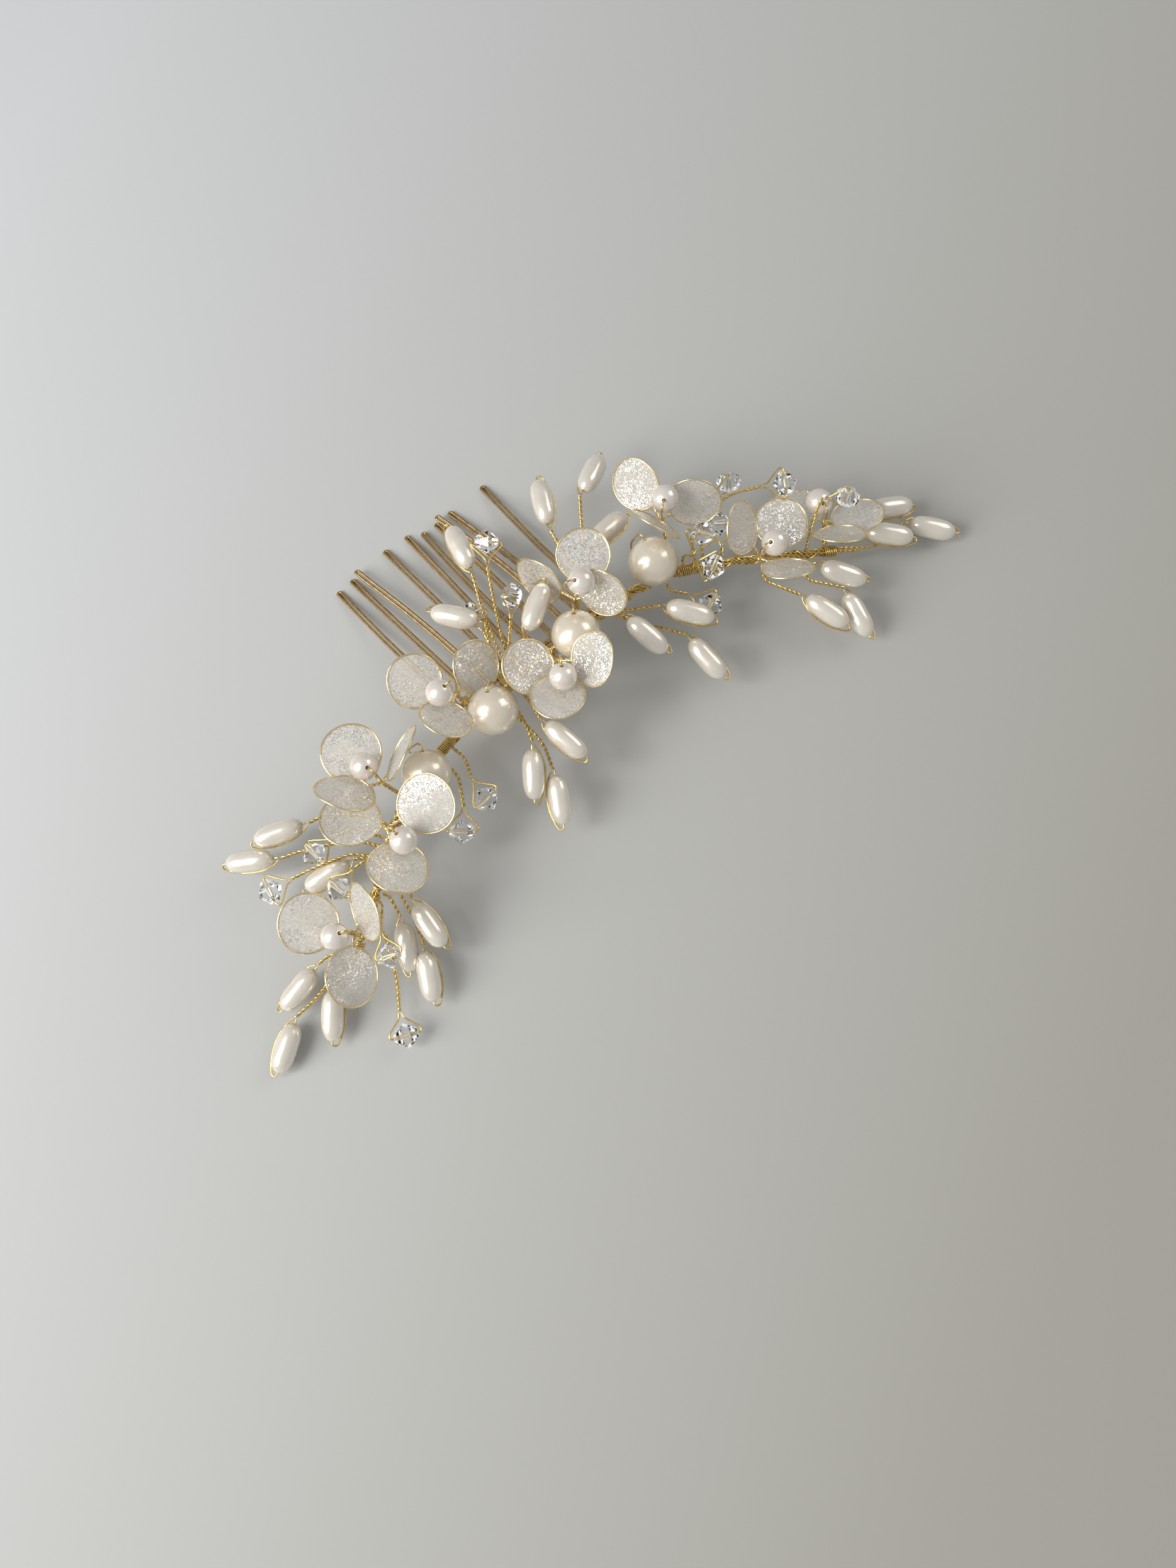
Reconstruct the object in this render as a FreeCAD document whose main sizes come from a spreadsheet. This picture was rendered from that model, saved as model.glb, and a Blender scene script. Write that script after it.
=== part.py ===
import FreeCAD, Part
import Sketcher
import math
import os

# A wire hair comb: ten hairpin teeth under a straight bar, and a crescent vine of bound wire lashed to it,
# which carries pearls, film petals, rice pearls and crystals on twisted stems.
# X runs along the bar, Y towards the tips of the teeth, Z up from the surface that the comb lies on.

Vec = FreeCAD.Vector
UP = Vec(0, 0, 1)

SIZES = {
    "bar_overhang": 1.5,
    "bar_radius": 0.5,
    "bar_height": 10.2,
    "bar_chamfer": 0.2,
    "tooth_count": 10,
    "tooth_pitch": 4.0,
    "tooth_length": 39.0,
    "tooth_radius": 0.3,
    "tooth_legs": 0.8,
    "vine_radius": 0.9,
    "lash_radius": 0.16,
    "bind_radius": 0.15,
    "stem_radius": 0.36,
    "stalk_radius": 0.45,
    "strand_radius": 0.18,
    "rim_radius": 0.19,
    "neck_radius": 0.26,
    "wide_petal": 5.8,
    "narrow_petal": 5.3,
    "film_thickness": 0.14,
    "knot_radius": 0.65,
    "large_pearl": 5.0,
    "flower_pearl": 2.75,
    "rice_length": 10.2,
    "rice_radius": 2.25,
    "pearl_bore_clearance": 0.17,
    "crystal_radius": 2.55,
    "crystal_length": 4.8,
    "crystal_tip": 0.95,
    "crystal_facets": 8,
    "crystal_bore_clearance": 0.08,
    "loop_reach": 4.6,
    "seat_gap": 0.04,
}

# Turns of wire lie this many wire radii apart, centre to centre.
BINDING_PITCH = 2.7
LASHING_PITCH = 2.3

doc = FreeCAD.newDocument("hair_comb")
sheet = doc.addObject("Spreadsheet::Sheet", "Sizes")
for row, (alias, value) in enumerate(SIZES.items(), start=1):
    sheet.set("A%d" % row, alias)
    sheet.set("B%d" % row, str(value))
    sheet.setAlias("B%d" % row, alias)
doc.recompute()


def size(alias):
    return float(sheet.get(alias))


def bind(obj, **bindings):
    for prop, expression in bindings.items():
        obj.setExpression(prop, expression)
    return obj


# ---------------------------------------------------------------- directions and wire paths


def heading(bearing, lift=0.0):
    """Unit vector at a bearing in plan, in degrees from +X, raised by lift degrees."""
    b, e = math.radians(bearing), math.radians(lift)
    return Vec(math.cos(e) * math.cos(b), math.cos(e) * math.sin(b), math.sin(e))


def frame_at(origin, along, over):
    """Placement whose X runs along one direction and whose Z leans as near to over as it can."""
    x = Vec(along).normalize()
    y = over.cross(x).normalize()
    z = x.cross(y)
    return FreeCAD.Placement(origin, FreeCAD.Rotation(x, y, z, "XYZ"))


def bent_path(points):
    """Edges of a wire through the points: straight runs joined by tangent arcs."""
    edges = []
    start = points[0]
    for before, corner, after in zip(points, points[1:], points[2:]):
        back, on = before - corner, after - corner
        turn = math.pi - back.getAngle(on)
        setback = 0.45 * min(back.Length, on.Length)
        back.normalize()
        on.normalize()
        radius = setback / math.tan(turn / 2)
        inward = (back + on).normalize()
        middle = corner + inward * (radius / math.cos(turn / 2) - radius)
        arc_start = corner + back * setback
        arc_end = corner + on * setback
        edges.append(Part.LineSegment(start, arc_start).toShape())
        edges.append(Part.Arc(arc_start, middle, arc_end).toShape())
        start = arc_end
    edges.append(Part.LineSegment(start, points[-1]).toShape())
    return edges


def tube(edges, radius):
    """Round wire of one radius swept along tangent edges."""
    first = edges[0]
    tangent = first.tangentAt(first.FirstParameter)
    circle = Part.Circle(first.valueAt(first.FirstParameter), tangent, radius)
    section = Part.Wire([circle.toShape()])
    solid = Part.Wire(edges).makePipeShell([section], True, False)
    expected = math.pi * radius**2 * sum(edge.Length for edge in edges)
    if abs(solid.Volume) < 0.98 * expected or abs(solid.Volume) > 1.02 * expected:
        raise ValueError("a swept wire has the wrong volume: %.3f for %.3f" % (solid.Volume, expected))
    return solid


def wire_solid(points, radius):
    return tube(bent_path(points), radius)


# ---------------------------------------------------------------- nodes

nodes = []


def feature(name, shape):
    """Document object that holds one solid shaped by the functions above."""
    made = doc.addObject("Part::Feature", name)
    made.Shape = shape
    return made


def node(name, members):
    """Named sub-part that groups the document objects of its solids."""
    group = doc.addObject("Part::Compound", name)
    group.Label = name
    group.Links = members
    nodes.append(group)
    return group


def copy_of(prototype, name, placement):
    link = doc.addObject("App::Link", name)
    link.LinkedObject = prototype
    link.Placement = placement
    return link


# ---------------------------------------------------------------- prototypes of the repeated pieces


def bored(solid, name, length_cell):
    """Bead with a round bore along its own Z axis."""
    drill = doc.addObject("Part::Cylinder", name + "_drill")
    drill.setExpression("Radius", "Sizes.strand_radius + Sizes.pearl_bore_clearance")
    drill.setExpression("Height", "Sizes.%s * 3" % length_cell)
    drill.setExpression("Placement.Base.z", "-Sizes.%s * 1.5" % length_cell)
    bead = doc.addObject("Part::Cut", name)
    bead.Base = solid
    bead.Tool = drill
    return bead


def make_round_pearl(name, radius_cell):
    ball = doc.addObject("Part::Sphere", name + "_ball")
    bind(ball, Radius="Sizes." + radius_cell)
    return bored(ball, name, radius_cell)


def make_rice_pearl():
    oval = doc.addObject("Part::Ellipsoid", "rice_oval")
    bind(oval, Radius1="Sizes.rice_length / 2", Radius2="Sizes.rice_radius", Radius3="Sizes.rice_radius")
    return bored(oval, "rice_bead", "rice_length")


def make_crystal():
    """Bicone with flat facets that widen from each small end to the girdle."""
    outline = (("low", "crystal_tip", -0.5), ("girdle", "crystal_radius", 0), ("high", "crystal_tip", 0.5))
    sections = []
    for name, radius, lift in outline:
        ring = doc.addObject("Part::RegularPolygon", "crystal_" + name)
        bind(ring, Polygon="Sizes.crystal_facets", Circumradius="Sizes." + radius)
        ring.setExpression("Placement.Base.z", "%s * Sizes.crystal_length" % lift)
        sections.append(ring)
    blank = doc.addObject("Part::Loft", "crystal_blank")
    blank.Sections = sections
    blank.Solid = True
    blank.Ruled = True
    drill = doc.addObject("Part::Cylinder", "crystal_drill")
    bind(
        drill,
        Radius="Sizes.strand_radius + Sizes.crystal_bore_clearance",
        Height="Sizes.crystal_length * 2",
    )
    drill.setExpression("Placement.Base.z", "-Sizes.crystal_length")
    bead = doc.addObject("Part::Cut", "crystal_bead")
    bead.Base = blank
    bead.Tool = drill
    return bead


def make_rim(name, radius_cell):
    rim = doc.addObject("Part::Torus", name)
    return bind(rim, Radius1="Sizes." + radius_cell, Radius2="Sizes.rim_radius")


def make_film(name, radius_cell):
    """Thin disc that reaches the inside of its rim."""
    film = doc.addObject("Part::Cylinder", name)
    bind(film, Radius="Sizes.%s - Sizes.rim_radius" % radius_cell, Height="Sizes.film_thickness")
    film.setExpression("Placement.Base.z", "-Sizes.film_thickness / 2")
    return film


RICE_TAIL_APART = 0.55
CRYSTAL_LOOP_SHOULDER = 0.35


def make_rice_wire():
    """Strand through a rice pearl's bore and back along its side, with its ends at the pearl's base."""
    half = size("rice_length") / 2
    girth = size("rice_radius")
    reach = girth + size("strand_radius") + size("seat_gap")
    tail = half + 2 * size("stem_radius")
    points = [
        Vec(0, 0, -tail),
        Vec(0, 0, half + 0.7),
        Vec(0.4 * girth, 0, half + 0.9),
        Vec(0.667 * girth, 0, half - 0.1),
        Vec(reach, 0, half * 0.42),
        Vec(reach + 0.05, 0, -half * 0.38),
        Vec(0.578 * girth, 0, -half + 0.1),
        Vec(RICE_TAIL_APART, 0, -tail),
    ]
    return feature("rice_wire", wire_solid(points, size("strand_radius")))


def make_crystal_loop():
    """Wire triangle whose base is the axle through the crystal, with its apex at the stem."""
    half = size("crystal_length") / 2 + 3 * size("strand_radius")
    apex = size("loop_reach")
    side = [
        Vec(-apex, 0, 0.25),
        Vec(-apex + 1.0, 0, 0.5),
        Vec(-1.2, 0, half),
        Vec(-0.55, 0, half + CRYSTAL_LOOP_SHOULDER),
        Vec(0, 0, half),
    ]
    other = [Vec(p.x, 0, -p.z) for p in reversed(side)]
    return feature("crystal_loop", wire_solid(side + other, size("strand_radius")))


large_pearl = make_round_pearl("large_bead", "large_pearl")
flower_pearl = make_round_pearl("flower_bead", "flower_pearl")
rice_pearl = make_rice_pearl()
crystal = make_crystal()
rims = {"wide": make_rim("wide_rim", "wide_petal"), "narrow": make_rim("narrow_rim", "narrow_petal")}
films = {"wide": make_film("wide_film", "wide_petal"), "narrow": make_film("narrow_film", "narrow_petal")}
rice_wire = make_rice_wire()
crystal_loop = make_crystal_loop()
doc.recompute()

# ---------------------------------------------------------------- comb

bar_centre = Vec(0, 0, size("bar_height"))


def make_bar():
    body = doc.addObject("PartDesign::Body", "comb_bar")
    body.Label = "comb_bar"
    side = next(o for o in body.Origin.OriginFeatures if o.Role == "YZ_Plane")
    sketch = body.newObject("Sketcher::SketchObject", "bar_section")
    sketch.AttachmentSupport = (side, "")
    sketch.MapMode = "FlatFace"
    sketch.addGeometry(Part.Circle(Vec(0, 0, 0), UP, size("bar_radius")))
    sketch.addConstraint(Sketcher.Constraint("Coincident", 0, 3, -1, 1))
    radius = sketch.addConstraint(Sketcher.Constraint("Radius", 0, size("bar_radius")))
    sketch.setExpression("Constraints[%d]" % radius, "Sizes.bar_radius")
    pad = body.newObject("PartDesign::Pad", "bar_length")
    pad.Profile = sketch
    pad.Midplane = True
    pad.setExpression("Length", "(Sizes.tooth_count - 1) * Sizes.tooth_pitch + 2 * Sizes.bar_overhang")
    doc.recompute()
    eased = body.newObject("PartDesign::Chamfer", "bar_ends")
    eased.Base = (pad, ["Edge%d" % (i + 1) for i, e in enumerate(pad.Shape.Edges) if e.isClosed()])
    eased.setExpression("Size", "Sizes.bar_chamfer")
    body.setExpression("Placement.Base.z", "Sizes.bar_height")
    nodes.append(body)


# Each tooth: how far it sways sideways at half its length and at its tip, how much longer it is than
# the rest, how far its middle bellies below the straight line to the tip, and how far its tip stands up.
TEETH = [
    (-2.6, -4.2, -0.4, 1.2, 0.0),
    (-2.2, -4.4, 0.0, 0.6, 0.0),
    (-2.6, -6.6, 0.6, 0.4, 1.4),
    (-1.2, -3.0, 1.0, 0.8, 0.0),
    (-0.2, -1.5, 0.8, 1.5, 0.0),
    (-1.8, -2.3, -0.8, 0.5, 0.3),
    (-0.8, -2.8, -0.8, 1.3, 0.0),
    (-1.6, -5.9, 0.0, 0.2, 1.4),
    (-2.8, -7.0, -0.4, 1.3, 0.0),
    (-1.2, -2.0, 0.0, 0.9, 0.0),
]


def make_teeth():
    """Hairpins that start under the bar, just behind its middle, and come down to the surface."""
    root = -0.8 * size("bar_radius")
    radius = size("tooth_radius")
    half = size("tooth_legs") / 2
    root_height = size("bar_height") - size("bar_radius") - radius - size("seat_gap")
    teeth = []
    for number in range(int(size("tooth_count"))):
        belly_sway, tip_sway, longer, belly, rise = TEETH[number % len(TEETH)]
        x = (number - (size("tooth_count") - 1) / 2) * size("tooth_pitch")
        reach = size("tooth_length") + longer
        middle_height = (root_height + radius + rise) / 2 - belly
        points = []
        for side in (-half, half):
            leg = [
                Vec(x + side, root, root_height),
                Vec(x + belly_sway + side, reach * 0.5, middle_height),
                Vec(x + tip_sway + side, reach - radius, radius + rise),
            ]
            points += leg if side < 0 else leg[::-1]
        teeth.append(feature("tooth_%d" % (number + 1), wire_solid(points, radius)))
    node("comb_teeth", teeth)


# ---------------------------------------------------------------- vine

# The vine's route, from the end of the left wing to the end of the right wing.
VINE = [
    Vec(-65, -27.5, 7.2),
    Vec(-54.5, -20.5, 8.4),
    Vec(-43.5, -11.2, 9.8),
    Vec(-29, -5.4, 10.8),
    Vec(-10, -2.6, 11.2),
    Vec(13, -1.9, 11.2),
    Vec(30, -2.6, 10.8),
    Vec(45, -9.6, 9.8),
    Vec(57, -16.6, 8.4),
    Vec(70, -24.2, 7.2),
]
vine_edges = bent_path(VINE)
vine_line = Part.Wire(vine_edges)


def nearest_on_vine(point):
    return vine_line.distToShape(Part.Vertex(point))[1][0][0]


def vine_station(x):
    """Point and direction of the vine's centre line at one place along X."""
    for edge in vine_edges:
        ends = sorted(v.X for v in edge.Vertexes)
        if ends[0] <= x <= ends[1]:
            cut = edge.Curve.toShape(edge.FirstParameter, edge.LastParameter)
            low, high = edge.FirstParameter, edge.LastParameter
            for _ in range(40):
                middle = (low + high) / 2
                if (cut.valueAt(middle).x < x) == (cut.valueAt(high).x > cut.valueAt(low).x):
                    low = middle
                else:
                    high = middle
            return cut.valueAt(low), cut.tangentAt(low)
    raise ValueError("the vine doesn't reach x = %g" % x)


def make_vine():
    body = feature("vine_core", tube(vine_edges, size("vine_radius")))
    body.Label = "vine_core"
    nodes.append(body)


# Stretches of the vine that binding wire covers, as the X of the first turn and the number of turns.
BINDINGS = {
    "vine_binding_left": [(-63.5, 5), (-43.6, 5), (-38.6, 6)],
    "vine_binding_middle": [(-27.2, 10), (-12.6, 6), (3.4, 6)],
    "vine_binding_right": [(20.5, 7), (34.2, 12), (61.5, 6)],
}


def make_bindings():
    """Turns of thin wire wound close together on the vine."""
    spacing = BINDING_PITCH * size("bind_radius")
    for name, stretches in BINDINGS.items():
        turns = []
        for first, count in stretches:
            for number in range(count):
                at, along = vine_station(first + number * spacing)
                ring = doc.addObject("Part::Torus", name + "_turn")
                bind(
                    ring,
                    Radius1="Sizes.vine_radius + Sizes.bind_radius + Sizes.seat_gap",
                    Radius2="Sizes.bind_radius",
                )
                ring.Placement = FreeCAD.Placement(at, FreeCAD.Rotation(UP, along))
                turns.append(ring)
        node(name, turns)


# Places along the bar that stems leave free; a lashing goes through the gap between teeth nearest to each.
LASHINGS = [-16, -8, 0, 8, 16]


def make_lashings():
    """Oval turns between the teeth that hold the bar against the vine."""
    radius = size("lash_radius")
    pitch = size("tooth_pitch")
    first_gap = pitch / 2 * (size("tooth_count") % 2)
    bend = size("vine_radius") + radius + 3 * size("seat_gap")
    turns = []
    for place in LASHINGS:
        gap = round((place - first_gap) / pitch) * pitch + first_gap
        for turn in (-1, 0, 1):
            x = gap + turn * LASHING_PITCH * radius
            vine_at = vine_station(x)[0]
            bar_at = Vec(x, 0, size("bar_height"))
            across = (vine_at - bar_at).normalize()
            side = across.cross(Vec(1, 0, 0)).normalize()
            low_a, low_b = bar_at - side * bend, vine_at - side * bend
            high_a, high_b = bar_at + side * bend, vine_at + side * bend
            edges = [
                Part.LineSegment(low_a, low_b).toShape(),
                Part.Arc(low_b, vine_at + across * bend, high_b).toShape(),
                Part.LineSegment(high_b, high_a).toShape(),
                Part.Arc(high_a, bar_at - across * bend, low_a).toShape(),
            ]
            turns.append(feature("lashing", tube(edges, radius)))
    node("comb_lashings", turns)


# ---------------------------------------------------------------- stems


def covered_radius():
    """Radius of the vine over the thicker of its bindings and its lashings, and the gaps beside that wire."""
    binding = 2 * size("bind_radius") + 2 * size("seat_gap")
    lashing = 2 * size("lash_radius") + 4 * size("seat_gap")
    return size("vine_radius") + max(binding, lashing)


def seat_on_vine(towards):
    """Where a stem leaves the bound vine: at the place nearest the point that it goes to."""
    root = nearest_on_vine(towards)
    return root + (towards - root).normalize() * covered_radius()


def make_stem(name, bends, end):
    route = [Vec(*b) for b in bends] + [end]
    return feature(name, wire_solid([seat_on_vine(route[0])] + route, size("stem_radius")))


# Rice pearls: the stem's bends, then the pearl's middle, bearing and dip, and how its side strand is turned.
RICE = {
    "left": [
        ([(-46, -6.5, 11.5), (-52, -1.6, 12.2)], (-61.5, 1.4, 11), 161, 6, 70),
        ([(-50.5, -8.6, 9.6), (-59.6, -4.2, 9.4)], (-69.4, 1.0, 8), 147, 12, 60),
        ([(-51.0, -12.4, 7.4)], (-59.1, -10.3, 6.6), -186, 8, 80),
        ([(-67.5, -23.4, 7.0)], (-76.8, -25.0, 5.2), -168, 12, -70),
        ([(-69.0, -26.6, 5.4), (-75.0, -28.4, 4.4)], (-85.6, -32.3, 3.0), -146, 4, -80),
        ([(-66.6, -28.4, 6.0)], (-74.7, -33.0, 4.2), -128, 10, 75),
        ([(-47.2, -18.5, 11.2), (-48.2, -23.0, 10.6)], (-49.0, -31.2, 9.4), -93, 8, 70),
        ([(-51.8, -21.4, 7.4)], (-55.2, -31.3, 5.2), -119, 14, -60),
        ([(-49.6, -20.5, 7.4), (-50.6, -27.6, 5.6)], (-55.2, -38.6, 5.0), -116, 8, 80),
    ],
    "middle": [
        ([(-6.6, -6.0, 13.0), (-6.9, -10.0, 15.0)], (-5.9, -19.2, 14.4), -78, 8, -60),
        ([(-9.4, -5.8, 12.4), (-10.0, -11.5, 13.6)], (-15.0, -20.4, 12), -125, 12, 75),
        ([(-10.4, -6.5, 10.2), (-9.2, -16.0, 10.2)], (-13.8, -27.2, 9.6), -118, 12, -75),
        ([(17.8, -4.6, 13.0)], (20.2, -12.2, 14), -76, 14, 65),
        ([(20.2, -5.0, 12.4), (24.0, -7.8, 14.2)], (30.0, -13.7, 14), -50, 10, -70),
        ([(19.0, -5.2, 10.8), (24.6, -12.6, 10.8)], (27.6, -22.6, 10), -85, 10, 75),
        ([(17.6, 3.0, 14.4), (17.4, 11.0, 14.6)], (21.2, 23.5, 13), 65, 2, -70),
        ([(19.4, 3.4, 13.2), (22.6, 12.0, 12.6)], (33.5, 22.8, 11.4), 30, 16, 60),
        ([(20.6, 2.6, 12.4)], (28.6, 11.0, 12), 10, 16, -80),
        ([(-5.4, 2.6, 14.2), (-3.6, 10.0, 15.0)], (2.0, 26.1, 13), 79, 4, 70),
        ([(-7.0, 3.2, 13.6)], (-8.0, 14.4, 15), 129, 6, -65),
        ([(-3.4, 0.6, 14.8)], (5.4, 4.8, 18.6), 32, -6, 75),
    ],
    "right": [
        ([(50.4, -17.6, 9.4)], (61.2, -25.6, 9.4), -52, 14, 70),
        ([(47.6, -16.6, 8.6)], (54.0, -29.4, 7.6), -72, 6, -75),
        ([(54.8, -21.4, 7.4)], (59.2, -33.5, 5.4), -98, 12, 70),
        ([(66.6, -18.8, 8.6)], (74.8, -24.6, 8), -43, 8, -70),
        ([(72.2, -24.4, 5.2)], (84.4, -28.4, 4.0), -47, 8, 75),
        ([(65.0, -14.6, 8.0), (70.6, -16.4, 7.6)], (79.6, -20.0, 6.4), -24, 18, -65),
    ],
}


def bead_frame(middle, bearing, dip, turned):
    """Placement that lays a bead's Z axis along its bearing, dipping by dip degrees, and turns it about Z."""
    along = heading(bearing, -dip)
    lie = frame_at(Vec(*middle), along, UP)
    upright = FreeCAD.Placement(Vec(0, 0, 0), FreeCAD.Rotation(Vec(0, 1, 0), 90))
    spin = FreeCAD.Placement(Vec(0, 0, 0), FreeCAD.Rotation(Vec(0, 0, 1), turned))
    return lie.multiply(upright).multiply(spin)


def make_rice():
    for wing, beads in RICE.items():
        pearls, wires, stems = [], [], []
        for number, (bends, middle, bearing, dip, turned) in enumerate(beads, start=1):
            place = bead_frame(middle, bearing, dip, turned)
            tag = "%s_%d" % (wing, number)
            pearls.append(copy_of(rice_pearl, "rice_pearl_" + tag, place))
            wires.append(copy_of(rice_wire, "rice_wire_" + tag, place))
            tail = size("rice_length") / 2 + 3 * size("stem_radius") + size("seat_gap")
            foot = place.multVec(Vec(RICE_TAIL_APART / 2, 0, -tail))
            stems.append(make_stem("rice_stem_" + tag, bends, foot))
        node("rice_pearls_" + wing, pearls)
        node("rice_pearl_wires_" + wing, wires)
        STEMS[wing] += stems


# Crystals: the bends of the stem, then the crystal's middle, the bearing and lift away from the stem, and the
# angle that its axle is turned out of level.
CRYSTALS = {
    "left": [
        ([(-49.0, -7.6, 12.6)], (-58.3, -6.9, 13.2), -175, 0, 20),
        ([(-52.4, -10.4, 9.0), (-60.0, -8.2, 8.8)], (-69.8, -6.4, 8.0), 172, -6, 0),
        ([(-51.4, -13.6, 11.4)], (-58.7, -15.0, 11.2), -165, -4, 25),
        ([(-53.6, -22.6, 12.0)], (-58.7, -31.5, 10.8), -108, -6, 30),
        ([(-56.8, -26.4, 6.2), (-60.4, -35.0, 4.2)], (-65.7, -44.9, 3.2), -112, -4, 0),
    ],
    "middle": [
        ([(-4.0, 3.4, 13.2), (0.6, 13.0, 14.0)], (6.6, 23.3, 14.6), 56, 0, 15),
        ([(-4.6, 1.2, 15.4)], (3.0, 9.7, 18.6), 50, 8, 60),
        ([(-6.2, 3.6, 12.4)], (-4.2, 14.2, 10.4), 84, -10, 20),
        ([(-23.6, -9.6, 12.4)], (-25.3, -18.9, 13.6), -90, 0, 30),
        ([(-26.6, -11.0, 11.2)], (-32.9, -20.9, 11.8), -130, 0, 10),
    ],
    "right": [
        ([(41.0, 0.0, 12.6), (46.6, 2.2, 15.0)], (53.2, 2.8, 15.4), 4, 0, 80),
        ([(43.0, -0.2, 12.6), (51.0, 1.2, 15.0)], (61.5, -4.9, 17), -30, 0, 15),
        ([(36.4, -3.2, 13.6)], (41.0, -3.2, 18.4), 25, 35, 30),
        ([(36.2, -6.8, 13.2)], (38.6, -9.9, 17.4), -70, 30, 15),
        ([(30.4, -6.6, 10.4)], (35.4, -14.0, 9.4), -66, 0, 10),
        ([(59.6, -15.6, 13.4), (61.8, -13.8, 18.4)], (68.8, -15.3, 18.8), -34, 0, 80),
        ([(43.2, -7.8, 13.0)], (46.2, -2.7, 14.6), 60, 8, 20),
    ],
}


def make_crystals():
    for wing, beads in CRYSTALS.items():
        loops, stems = [], []
        for number, (bends, middle, bearing, lift, turned) in enumerate(beads, start=1):
            along = heading(bearing, lift)
            lie = frame_at(Vec(*middle), along, UP)
            level = FreeCAD.Placement(Vec(0, 0, 0), FreeCAD.Rotation(Vec(1, 0, 0), 90 + turned))
            place = lie.multiply(level)
            tag = "%s_%d" % (wing, number)
            node("crystal_" + tag, [copy_of(crystal, "bead_" + tag, place)])
            loops.append(copy_of(crystal_loop, "loop_" + tag, place))
            end = place.multVec(Vec(-size("loop_reach") - size("stem_radius") - size("seat_gap"), 0, 0))
            stems.append(make_stem("crystal_stem_" + tag, bends, end))
        node("crystal_loops_" + wing, loops)
        STEMS[wing] += stems


# ---------------------------------------------------------------- flowers

# Flowers: the knot where the petals meet, the petals' size, each petal as its neck's length, bearing,
# lift and roll, and the pearl as its bearing, reach and rise from the knot.
FLOWERS = [
    (
        (-39.5, -4.5, 16.5),
        "wide",
        [(2.4, 100, 10, 0), (3.4, 170, 40, 30), (2.4, 10, 40, -60)],
        (105, 3.9, 4.0),
    ),
    (
        (-44.0, -12.5, 17.5),
        "wide",
        [(3.4, -10, 20, 10), (1.6, 130, 0, 20), (3.4, -110, 20, -20)],
        (-79, 4.8, 4.0),
    ),
    (
        (-61.5, -24.0, 11.0),
        "wide",
        [(3.4, 130, 20, -10), (2.4, -130, 0, -40), (3.4, 10, 60, -20)],
        (158, 3.2, 4.5),
    ),
    (
        (-17.5, 0.5, 18.0),
        "narrow",
        [(3.4, 130, 20, -20), (1.6, 20, -10, 40), (3.4, -140, 40, -10)],
        (173, 3.2, 6.5),
    ),
    (
        (2.5, -6.5, 18.0),
        "narrow",
        [(1.6, 160, 20, -20), (3.4, -130, 20, 0), (3.4, -50, 40, 20)],
        (-119, 4.8, 5.0),
    ),
    (
        (12.5, 1.5, 18.5),
        "narrow",
        [(3.4, 40, 20, 0), (1.6, -40, 40, 50), (3.4, 110, -10, -70)],
        (-14, 1.4, 8.5),
    ),
    (
        (37.0, 4.5, 17.0),
        "narrow",
        [(3.4, 90, 10, -50), (3.4, -150, 60, -10), (2.4, -20, 30, 50)],
        (40, 1.2, 7.5),
    ),
    (
        (48.0, -13.5, 15.0),
        "narrow",
        [(3.4, 100, 50, 20), (3.4, 20, 0, 0), (3.4, -80, 40, -30)],
        (-2, 3.4, 3.0),
    ),
    (
        (64.5, -15.0, 11.5),
        "narrow",
        [(1.6, -30, 10, -30), (3.4, -110, 50, -10), (1.6, 100, -20, 20)],
        (75, 3.6, 2.5),
    ),
]


def petal_frame(knot, radius, petal):
    """Placement of a petal's rim: X away from the knot, Z out of its face."""
    neck, bearing, lift, roll = petal
    along = heading(bearing, lift)
    side = heading(bearing + 90)
    face = along.cross(side)
    rolled = face * math.cos(math.radians(roll)) - side * math.sin(math.radians(roll))
    return frame_at(knot + along * (neck + radius), along, rolled)


# How far a flower pearl's bore leans from upright, as its rise and its run away from the knot.
BORE_RISE = 0.85
BORE_RUN = 0.52


def make_flower(number, knot, kind, petals, pearl):
    """Petal wires and films of their own nodes; returns the flower's pearl, pearl wire and stalk."""
    name = "flower_%d" % number
    knot = Vec(*knot)
    radius = size(kind + "_petal")
    frames, discs = [], []
    for count, petal in enumerate(petals, start=1):
        place = petal_frame(knot, radius, petal)
        out = place.Rotation.multVec(Vec(1, 0, 0))
        inner = place.Base - out * (radius + size("rim_radius") + size("seat_gap"))
        start = knot + out * (size("knot_radius") + size("seat_gap"))
        neck = Part.makeCylinder(size("neck_radius"), (inner - start).Length, start, out)
        frames.append(copy_of(rims[kind], "%s_rim_%d" % (name, count), place))
        frames.append(feature("%s_neck_%d" % (name, count), neck))
        discs.append(copy_of(films[kind], "%s_film_%d" % (name, count), place))
    node(name + "_petal_wires", frames)
    node(name + "_petal_films", discs)

    bearing, reach, rise = pearl
    away = heading(bearing)
    middle = knot + away * reach + UP * rise
    lean = (UP * BORE_RISE - away * BORE_RUN).normalize()
    ball = size("flower_pearl")
    top = middle + lean * (ball + 0.8)
    place = FreeCAD.Placement(middle, FreeCAD.Rotation(UP, lean))
    bead = copy_of(flower_pearl, name + "_pearl", place)
    strand = size("strand_radius")
    back = knot + UP * (size("knot_radius") + size("seat_gap") + strand)
    shoulder = middle - away * (ball + 0.9) + UP * 0.6
    route = [back, shoulder, top - away * 1.5, top, middle - lean * (ball - 0.3)]
    wire = feature(name + "_pearl_wire", wire_solid(route, strand))

    foot = seat_on_vine(knot)
    stalk = Part.makeCylinder(size("stalk_radius"), (knot - foot).Length, foot, knot - foot)
    bound = stalk.fuse(Part.makeSphere(size("knot_radius"), knot)).removeSplitter()
    return bead, wire, feature(name + "_stalk", bound)


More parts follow.
